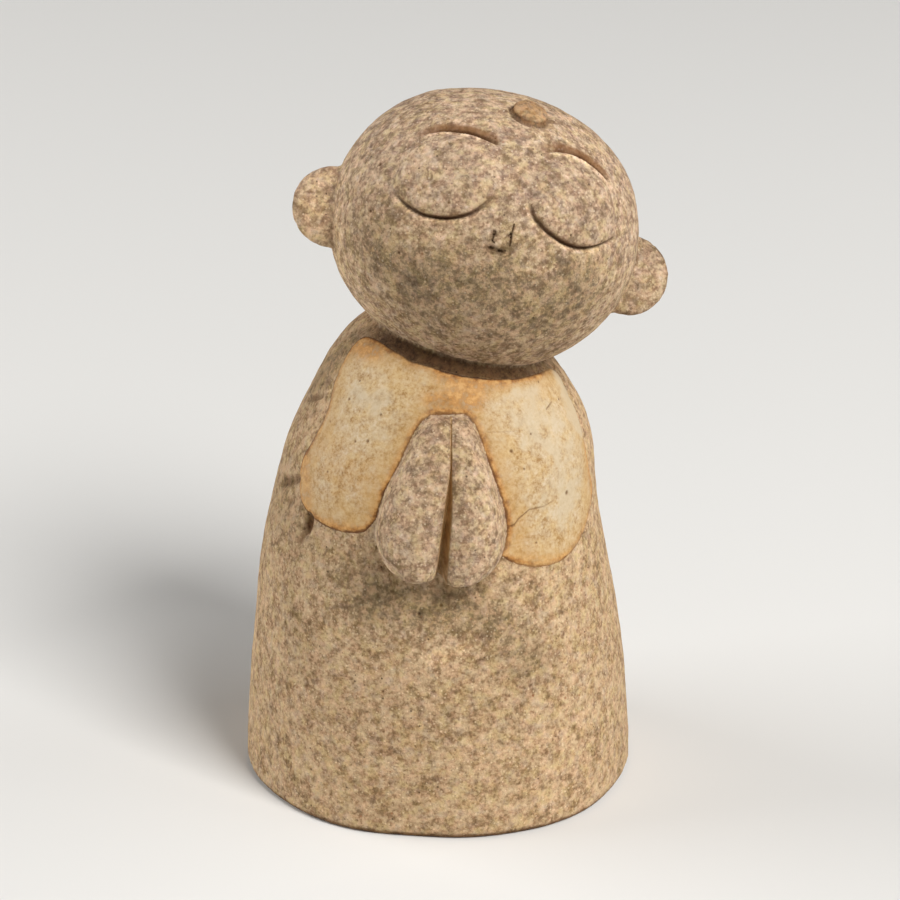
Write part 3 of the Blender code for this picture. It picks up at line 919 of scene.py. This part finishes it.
def make_relief(points):
    """Final places of the skin's points, and the values that colour them."""
    outward = gradients(points)[0]
    local = in_head(points)
    head = head_distance(local)
    body = body_distance(points)
    palm = palms_distance(points)
    button = button_distance(local)
    ear = ear_distance(local)
    moved, sink = sink_slit(points)

    # Where each form's skin is, and the head's side of the fold
    on_face = ease((0.8 * MM - np.abs(head)) / (0.5 * MM))
    on_button = ease(0.5 - button / (0.4 * MM))
    on_skin = ease((0.6 * MM - np.abs(body)) / (0.4 * MM))
    head_skin = ease(0.5 - np.minimum(head, ear) / MM)
    palm_skin = ease(0.5 - palm / MM)
    above = ease(0.5 - (head - body) / (0.4 * MM))

    # Face, button, marks and grains
    height, painted_groove_shade, painted_band_shade, lip_highlight = face_relief(local)
    height = height * on_face
    moat = ease(1.2 - np.maximum(np.abs(button), np.abs(head)) / (0.60 * MM))
    rise, size, seed = BUTTON_LUMPS
    button_rise = rise * MM + rise * MM * lumps(points, size * MM, seed)
    height += on_button * button_rise - MOAT_DEPTH * moat
    dents, grains_and_painted_shade = dent_relief(points)
    spots, spot_soot = spot_relief(points, on_body, BODY_GRAINS, BODY_CRUMBS)
    height += (dents + spots) * on_skin
    grains_and_painted_shade = np.maximum(grains_and_painted_shade, spot_soot) * on_skin
    spots, spot_soot = spot_relief(local, on_head, HEAD_GRAINS, HEAD_CRUMBS)
    height += spots * on_face
    grains_and_painted_shade = np.maximum(grains_and_painted_shade, spot_soot * ease((2.5 * MM - head) / MM))
    grains_and_painted_shade = np.maximum(grains_and_painted_shade, darkened_ear_rims(local, ear))

    # The bib ends where the palms begin
    bib = np.maximum(bib_distance(points), (body - palm))
    bib = np.maximum(bib, body - head + 0.3 * MM)
    on_bib = ease(-bib / BIB_EDGE)
    height += BIB_THICKNESS * on_bib
    for rise, size, seed in WIDE_LUMPS:
        height += rise * MM * lumps(points, size * MM, seed)
    for rise, size, seed in FINE_LUMPS:
        height += rise * MM * lumps(points, size * MM, seed) * (1.0 - BIB_CALM * on_bib)
    height -= RELIEF_SINK
    height = np.where(sink > 0.0, height * SLIT_CALM, height)
    height = height * ease(points[:, 2] / (0.6 * MM))
    moved = moved + outward * height[:, None]

    # Shade and contrast of the clay
    tint = shade_along(local, on_head, HEAD_TINTS) * head_skin
    tint += shade_along(points, on_body, BODY_TINTS) * on_skin * (1.0 - above)
    # Painted highlight on the lips below eye lines and brows
    tint += LIP_HIGHLIGHT * lip_highlight * on_face
    tint -= 0.04 * np.maximum(palm_skin, head_skin) + 0.09 * palm_skin
    contrast = CONTRAST + np.maximum(PALM_CONTRAST * palm_skin, HEAD_CONTRAST * head_skin)
    contrast = contrast + shade_along(local, on_head, HEAD_LIVELY) * head_skin
    contrast = contrast + shade_along(points, on_body, BODY_LIVELY) * on_skin
    slit_wall = ease(sink / (0.5 * MM))
    slit_wall *= 0.62 + 0.38 * ease((points[:, 2] / MM - 47.0) / 7.0)
    upper = ease(local[:, 2] / (HEAD_SIZES[2] / 2.0) * 2.0 + 0.6)
    # Where the foot's painted contact shadow may lie
    foot_shadow_rim = ease((around_body(points)[0] - FOOT_RADIUS) / (1.5 * MM) + 2.0)
    flash = shade_along(points, on_body, FLASHES, corners=6) * on_skin
    values = {
        "bib_edge": np.clip(bib / MM, -8.0, 8.0),
        "painted_groove_shade": np.clip(painted_groove_shade * on_face, 0.0, 1.0),
        "painted_brow_and_lid_shade": np.clip(painted_band_shade * on_face, 0.0, 1.0),
        "painted_crease_shade": painted_fold_shade(points, head, body, bib, on_skin, above),
        "slit": slit_wall,
        "button": on_button,
        "moat": moat,
        "cool": np.maximum(0.6 * palm_skin, head_skin * (0.35 + 0.65 * upper)),
        "contrast": contrast,
        "grains_and_painted_shade": grains_and_painted_shade,
        "foot_shadow_rim": foot_shadow_rim,
        "tint": tint,
        "flash": np.clip(flash, -1.0, 1.0),
    }
    return moved, values


def make_figure():
    points, faces = make_net()
    moved, values = make_relief(points)
    low, high = (np.array(corner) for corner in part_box("jizo_figure"))
    moved = np.clip(moved, low, high)
    moved[moved[:, 2] < FLOOR_SNAP, 2] = 0.0
    mesh = bpy.data.meshes.new("jizo_clay")
    mesh.from_pydata(moved.tolist(), [], faces.tolist())
    mesh.validate()
    for name, numbers in values.items():
        layer = mesh.attributes.new(name, "FLOAT", "POINT")
        layer.data.foreach_set("value", numbers.astype(np.float32))
    mesh.shade_smooth()
    figure = bpy.data.objects.new("jizo_clay", mesh)
    bpy.context.scene.collection.objects.link(figure)
    return figure


# Materials
def linear(red, green, blue):
    """An on-screen colour, 0 to 255, as the linear colour that sockets take."""
    parts = [channel / 255.0 for channel in (red, green, blue)]
    turned = [p / 12.92 if p <= 0.04045 else ((p + 0.055) / 1.055) ** 2.4 for p in parts]
    return (*turned, 1.0)


# Colour ramps of the clay on head and palms, of the body's clay, of the glaze and of its flashes
HEAD_CLAY = (
    (0.30, (124, 99, 70)), (0.41, (148, 122, 91)), (0.48, (164, 138, 106)),
    (0.52, (182, 156, 122)), (0.61, (201, 175, 141)), (0.74, (221, 196, 164)),
)
BODY_CLAY = (
    (0.30, (112, 88, 60)), (0.42, (150, 123, 91)), (0.49, (175, 148, 114)),
    (0.55, (189, 162, 127)), (0.62, (198, 172, 137)), (0.74, (208, 182, 148)),
)
GLAZE = ((0.26, (152, 118, 74)), (0.40, (178, 149, 108)), (0.54, (190, 165, 127)),
         (0.72, (201, 180, 148)))
ORANGE = ((0.36, (128, 82, 40)), (0.5, (176, 125, 66)), (0.64, (200, 156, 98)))

# Patches of another hue: size, detail and roughness of the pattern, its seed, the levels where
# the patches begin and are full, their strength, and red, green and blue factors
CLAY_HUES = (
    (1.3, 2.0, 0.6, 21.0, 0.42, 0.62, 1.0, (1.04, 0.965, 0.97, 1.0)),
    (2.1, 2.0, 0.6, 27.0, 0.46, 0.64, 1.0, (0.98, 1.0, 0.88, 1.0)),
    (1.6, 2.0, 0.6, 33.0, 0.50, 0.66, 1.0, (0.88, 0.90, 0.98, 1.0)),
)
GLAZE_HUES = (
    (2.6, 3.0, 0.65, 55.0, 0.44, 0.64, 0.7, (1.0, 0.94, 0.76, 1.0)),
    (3.4, 3.0, 0.65, 58.0, 0.44, 0.62, 0.8, (1.0, 1.05, 1.20, 1.0)),
)
COOL_HUES = ((0.93, 1.0, 1.40, 1.0), (0.99, 1.015, 1.20, 1.0))
SOFT_HUES = ((0.965, 1.012, 0.99, 1.0), (1.03, 0.99, 0.91, 1.0))

# Grains: spacing in millimetres, seed, radii where they are full and gone as shares of the
# spacing, random numbers below which they begin and are complete, strength and colour
CREAM_GRAINS = (0.62, 41.0, 0.16, 0.34, 0.34, 0.26, 0.42, (236, 212, 176))
DUSK_GRAINS = (0.55, 47.0, 0.14, 0.30, 0.50, 0.40, 0.45, (96, 72, 50))
IRON_GRAINS = (1.5, 2.0, 0.07, 0.15, 0.24, 0.18, 0.8, (62, 42, 28))
RUST_GRAINS = (2.6, 8.0, 0.05, 0.12, 0.22, 0.16, 0.6, (140, 82, 46))
GLAZE_FLECKS = (2.2, 14.0, 0.05, 0.11, 0.20, 0.15, 0.6, (120, 84, 48))

# Stains, and the colours of painted shade in the strokes, brows, fold, dents and along the foot
WARM_GLAZE = linear(182, 146, 92)
PALE_GLAZE = linear(192, 176, 149)
GLAZE_HEM = linear(94, 58, 28)
# Browns of the painted shade on brows and lid edges
BROW_SHADE_BROWNS = (linear(74, 46, 24), linear(146, 100, 58))
SLIT_OCHRES = (linear(150, 110, 62), linear(220, 178, 116))
BUTTON_BROWNS = (linear(84, 50, 28), linear(176, 126, 80))
# Brown of the painted shade in the tooled lines
GROOVE_SHADE_BROWN = linear(62, 35, 10)
# Filter of the painted shade in the fold between head and body
PAINTED_FOLD_SHADE_FILTER = (0.14, 0.09, 0.045, 1.0)
# Filter of the dark grains and ear rims, and of the painted shade in dents and along the foot
GRAIN_AND_PAINTED_SHADE_FILTER = (0.28, 0.19, 0.11, 1.0)
GRAIN_BUMP = 0.23 * MM

# Painted contact shadow along the foot, in metres above the floor: where it is gone, where full, how
# it wavers
FOOT_SHADOW_LINE = (1.7 * MM, 0.95 * MM)
FOOT_WAVER = 0.8 * MM

# Numbers of the colour sockets of a mix node
MIX_SHARE = 0
MIX_FIRST = 6
MIX_SECOND = 7
MIX_RESULT = 2


class Tree:
    """Short calls for building a material's nodes."""

    def __init__(self, material):
        material.use_nodes = True
        self.tree = material.node_tree
        self.shader = self.tree.nodes["Principled BSDF"]
        self.places = self.tree.nodes.new("ShaderNodeTexCoord").outputs["Object"]

    def fill(self, node, inputs):
        """Link or set a node's inputs, given by name or number."""
        for name, value in inputs.items():
            if hasattr(value, "is_output"):
                self.tree.links.new(value, node.inputs[name])
            else:
                node.inputs[name].default_value = value

    def node(self, kind, inputs, **settings):
        node = self.tree.nodes.new("ShaderNode" + kind)
        for name, value in settings.items():
            setattr(node, name, value)
        self.fill(node, inputs)
        return node

    def pattern(self, kind, size, shift, inputs):
        """A texture whose features are about this many millimetres apart."""
        scale = [1.0 / (size * MM)] * 3
        mapping = self.node("Mapping", {"Vector": self.places, "Scale": scale, "Location": shift})
        return self.node(kind, {"Scale": 1.0, "Vector": mapping.outputs["Vector"], **inputs})

    def noise(self, size, detail, roughness, seed=0.0):
        """Random blobs, 0 to 1."""
        shift = (seed, seed * 1.7, seed * 0.6)
        inputs = {"Detail": detail, "Roughness": roughness}
        return self.pattern("TexNoise", size, shift, inputs).outputs["Fac"]

    def specks(self, size, seed):
        """Distance from scattered points, and a random number for each."""
        texture = self.pattern("TexVoronoi", size, (seed, seed * 0.7, seed * 1.3), {})
        split = self.node("SeparateColor", {"Color": texture.outputs["Color"]})
        return texture.outputs["Distance"], split.outputs["Red"]

    def height(self):
        return self.node("SeparateXYZ", {"Vector": self.places}).outputs["Z"]

    def value(self, name):
        node = self.node("Attribute", {}, attribute_type="GEOMETRY", attribute_name=name)
        return node.outputs["Fac"]

    def math(self, operation, *values):
        return self.node("Math", dict(enumerate(values)), operation=operation).outputs["Value"]

    def times(self, first, second):
        return self.math("MULTIPLY", first, second)

    def swayed(self, value, pattern, reach):
        """A value moved up and down by a pattern of 0 to 1."""
        return self.math("MULTIPLY_ADD", self.math("SUBTRACT", pattern, 0.5), reach, value)

    def between(self, value, low, high, to_low=0.0, to_high=1.0):
        """Ease a value from one range into another, held at its ends."""
        inputs = {"Value": value, "From Min": low, "From Max": high, "To Min": to_low,
                  "To Max": to_high}
        return self.node("MapRange", inputs, interpolation_type="SMOOTHSTEP").outputs["Result"]

    def mix(self, share, first, second, blend="MIX"):
        inputs = {MIX_SHARE: share, MIX_FIRST: first, MIX_SECOND: second}
        return self.node("Mix", inputs, data_type="RGBA", blend_type=blend).outputs[MIX_RESULT]

    def filtered(self, share, colour, factors):
        """A colour multiplied by factors, as far as the share says."""
        return self.mix(share, colour, self.mix(1.0, colour, factors, "MULTIPLY"))

    def hued(self, colour, rows):
        for size, detail, roughness, seed, low, high, strength, factors in rows:
            pattern = self.noise(size, detail, roughness, seed)
            colour = self.filtered(self.between(pattern, low, high, 0.0, strength), colour, factors)
        return colour

    def grained(self, colour, row, rarer=0.0):
        """A colour with a row of scattered grains, fewer where the last value is high."""
        size, seed, full, gone, begins, complete, strength, grain_colour = row
        away, chance = self.specks(size, seed)
        chance = self.math("MULTIPLY_ADD", rarer, 0.24, chance)
        shown = self.times(self.between(away, full, gone, 1.0, 0.0),
                           self.between(chance, begins, complete))
        return self.mix(self.times(shown, strength), colour, linear(*grain_colour))

    def ramp(self, share, stops):
        node = self.node("ValToRGB", {"Fac": share})
        elements = node.color_ramp.elements
        while len(elements) < len(stops):
            elements.new(0.5)
        for element, (place, colour) in zip(elements, stops):
            element.position = place
            element.color = linear(*colour)
        return node.outputs["Color"]

    def grey(self, value):
        return self.node("CombineColor", dict.fromkeys(range(3), value)).outputs["Color"]

    def bump(self, height, depth):
        inputs = {"Strength": 1.0, "Distance": depth, "Height": height}
        return self.node("Bump", inputs).outputs["Normal"]


def clay_colour(t, fine, clusters):
    """A mottle of cream, tan and grey-brown, with pale and dark grains."""
    level = t.math("MULTIPLY_ADD", fine, 0.75, 0.125)
    level = t.swayed(level, t.specks(0.46, 91.0)[1], 0.16)
    level = t.swayed(level, clusters, 0.80)
    level = t.swayed(level, t.noise(4.6, 3.0, 0.6, 4.0), 0.34)
    contrast = t.value("contrast")
    level = t.swayed(0.5, level, contrast)
    lively = t.between(contrast, CONTRAST, 0.82)
    clay = t.mix(lively, t.ramp(level, BODY_CLAY), t.ramp(level, HEAD_CLAY))
    clay = t.hued(clay, CLAY_HUES)
    clay = t.grained(clay, CREAM_GRAINS)
    clay = t.grained(clay, DUSK_GRAINS, lively)
    clay = t.grained(clay, IRON_GRAINS)
    clay = t.grained(clay, RUST_GRAINS)
    tint = t.value("tint")
    clay = t.mix(1.0, clay, t.grey(t.math("ADD", 1.0, tint)), "MULTIPLY")
    hue = t.mix(t.between(level, 0.40, 0.58), *COOL_HUES)
    clay = t.filtered(t.value("cool"), clay, hue)
    hue = t.mix(t.between(level, 0.42, 0.56), *SOFT_HUES)
    return t.filtered(t.between(tint, -0.12, -0.34), clay, hue)


def glaze_colour(t, edge):
    """Pale cream, faintly mottled, with orange flashes and a dark hem."""
    flash = t.value("flash")
    drift = t.noise(4.0, 2.0, 0.6, 37.0)
    mottle = t.math("SUBTRACT", t.noise(0.5, 4.0, 0.7, 31.0), 0.5)
    mottle = t.swayed(mottle, t.noise(1.5, 3.0, 0.65, 34.0), 0.7)
    level = t.math("MULTIPLY_ADD", mottle, 1.15, t.math("MULTIPLY_ADD", drift, 0.40, 0.29))
    glaze = t.hued(t.ramp(level, GLAZE), GLAZE_HUES)
    warm = t.between(t.swayed(edge, drift, 7.0), -6.0, -1.0)
    glaze = t.mix(t.times(warm, 0.45), glaze, WARM_GLAZE)
    pale = t.between(t.swayed(flash, t.noise(3.0, 3.0, 0.6, 83.0), 1.6), -0.04, -0.56)
    glaze = t.mix(t.times(pale, 0.72), glaze, PALE_GLAZE)
    glaze = t.grained(glaze, GLAZE_FLECKS)
    ragged = t.swayed(edge, t.noise(1.9, 4.0, 0.7, 44.0), 1.2)
    rim = t.times(t.between(ragged, -1.5, -0.5), t.between(flash, -0.6, 0.5))
    burnt = t.noise(1.5, 3.0, 0.7, 52.0)
    patch = t.times(flash, t.between(burnt, 0.36, 0.56, 0.35, 1.0))
    share = t.math("MAXIMUM", rim, t.math("MAXIMUM", patch, 0.0))
    glaze = t.mix(share, glaze, t.ramp(burnt, ORANGE))
    hem = t.times(t.between(ragged, -0.50, -0.05), t.between(flash, -0.4, 0.6, 0.35, 0.92))
    return t.mix(hem, glaze, GLAZE_HEM)


def stained(t, colour, clusters):
    """A colour under the slit, button, grains and ear rims, and the painted shade in strokes, brows,
    moat, fold, dents and foot.
    """
    # Painted shade on the brow slopes and lid edges
    colour = t.mix(t.times(t.value("painted_brow_and_lid_shade"), 0.88), colour, t.mix(clusters, *BROW_SHADE_BROWNS))
    colour = t.mix(t.times(t.value("slit"), 0.8), colour, t.mix(clusters, *SLIT_OCHRES))
    # Painted shade in the tooled lines, nicks and the moat round the button
    groove_shade = t.math("MAXIMUM", t.value("painted_groove_shade"), t.times(t.value("moat"), 0.8))
    colour = t.mix(t.times(groove_shade, 0.94), colour, GROOVE_SHADE_BROWN)
    patches = t.between(t.noise(1.0, 3.0, 0.6, 61.0), 0.38, 0.58)
    colour = t.mix(t.times(t.value("button"), 0.85), colour, t.mix(patches, *BUTTON_BROWNS))
    # Painted shade in the fold between head and body
    colour = t.filtered(t.times(t.value("painted_crease_shade"), 0.96), colour, PAINTED_FOLD_SHADE_FILTER)
    # Painted contact shadow along the foot's lower edge
    level = t.math("MULTIPLY_ADD", t.noise(1.2, 2.0, 0.6, 88.0), FOOT_WAVER, t.height())
    foot = t.times(t.between(level, *FOOT_SHADOW_LINE), t.value("foot_shadow_rim"))
    grains_and_painted_shade = t.math("MAXIMUM", t.value("grains_and_painted_shade"), t.times(foot, 0.92))
    return t.filtered(t.times(grains_and_painted_shade, 0.9), colour, GRAIN_AND_PAINTED_SHADE_FILTER)


def clay_and_glaze():
    material = bpy.data.materials.new("speckled_stoneware_and_bib_glaze")
    t = Tree(material)
    fine = t.noise(0.62, 4.0, 0.70)
    clusters = t.noise(1.7, 2.0, 0.6, 9.0)
    edge = t.value("bib_edge")
    on_bib = t.between(t.swayed(edge, fine, 0.5), 0.06, -0.06)
    colour = t.mix(on_bib, clay_colour(t, fine, clusters), glaze_colour(t, edge))
    rough = t.math("MULTIPLY_ADD", t.noise(0.35, 2.0, 0.6, 71.0), 0.5, t.noise(0.9, 3.0, 0.6, 75.0))
    calm = t.between(on_bib, 0.0, 1.0, 1.0, 0.25)
    t.fill(t.shader, {
        "Base Color": stained(t, colour, clusters),
        "Roughness": t.between(on_bib, 0.0, 1.0, 0.95, 0.72),
        "Specular IOR Level": 0.3,
        "Normal": t.bump(t.times(rough, calm), GRAIN_BUMP),
    })
    return material


def floor_material():
    material = bpy.data.materials.new("pale_floor")
    t = Tree(material)
    t.fill(t.shader, {"Base Color": FLOOR_COLOUR, "Roughness": 0.9, "Specular IOR Level": 0.1})
    return material


# Studio. Each light: name, degrees to the right and up, distance, size, power, colour
CAMERA_AIM = Vector((0.00209, 0.0, 0.056))
CAMERA_AWAY = 0.6
CAMERA_RISE = 22.0
CAMERA_LENS = 144.0
CAMERA_SENSOR = 36.0
LIGHTS = (
    ("key", 39.0, 45.0, 2.0, 0.85, 43.0, (1.0, 0.98, 0.95)),
    ("left", -100.0, 17.0, 1.5, 1.3, 22.0, (1.0, 0.985, 0.96)),
    ("right", 90.0, 20.0, 1.5, 1.3, 9.0, (1.0, 0.985, 0.96)),
)
WORLD_COLOUR = (1.0, 0.985, 0.96, 1.0)
WORLD_STRENGTH = 0.03
FLOOR_COLOUR = (0.775, 0.775, 0.768, 1.0)
FLOOR_REACH = 12.0


def add_camera():
    data = bpy.data.cameras.new("camera")
    data.lens = CAMERA_LENS
    data.sensor_width = CAMERA_SENSOR
    camera = bpy.data.objects.new("camera", data)
    rise = math.radians(CAMERA_RISE)
    camera.location = CAMERA_AIM + Vector((0.0, -math.cos(rise), math.sin(rise))) * CAMERA_AWAY
    camera.rotation_euler = (math.radians(90.0 - CAMERA_RISE), 0.0, 0.0)
    bpy.context.scene.collection.objects.link(camera)
    bpy.context.scene.camera = camera


def add_area(name, turn, rise, away, size, power, colour):
    """A soft square light aimed at the figure."""
    data = bpy.data.lights.new(name, "AREA")
    data.size = size
    data.energy = power
    data.color = colour
    lamp = bpy.data.objects.new(name, data)
    across = math.radians(turn)
    up = math.radians(rise)
    flat = math.cos(up)
    toward = Vector((math.sin(across) * flat, -math.cos(across) * flat, math.sin(up)))
    lamp.location = CAMERA_AIM + toward * away
    lamp.rotation_euler = toward.to_track_quat("Z", "Y").to_euler()
    bpy.context.scene.collection.objects.link(lamp)


def add_floor():
    mesh = bpy.data.meshes.new("floor")
    signs = ((-1, -1), (1, -1), (1, 1), (-1, 1))
    corners = [(x * FLOOR_REACH, y * FLOOR_REACH, 0.0) for x, y in signs]
    mesh.from_pydata(corners, [], [(0, 1, 2, 3)])
    mesh.materials.append(floor_material())
    floor = bpy.data.objects.new("floor", mesh)
    bpy.context.scene.collection.objects.link(floor)


def add_studio():
    world = bpy.data.worlds.new("studio")
    world.use_nodes = True
    background = world.node_tree.nodes["Background"]
    background.inputs["Color"].default_value = WORLD_COLOUR
    background.inputs["Strength"].default_value = WORLD_STRENGTH
    bpy.context.scene.world = world
    bpy.context.scene.view_settings.view_transform = "Standard"
    for light in LIGHTS:
        add_area(*light)
    add_floor()


def main():
    add_camera()
    add_studio()
    figure = make_figure()
    figure.data.materials.append(clay_and_glaze())
    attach(figure, "root")
    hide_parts("jizo_figure")


main()
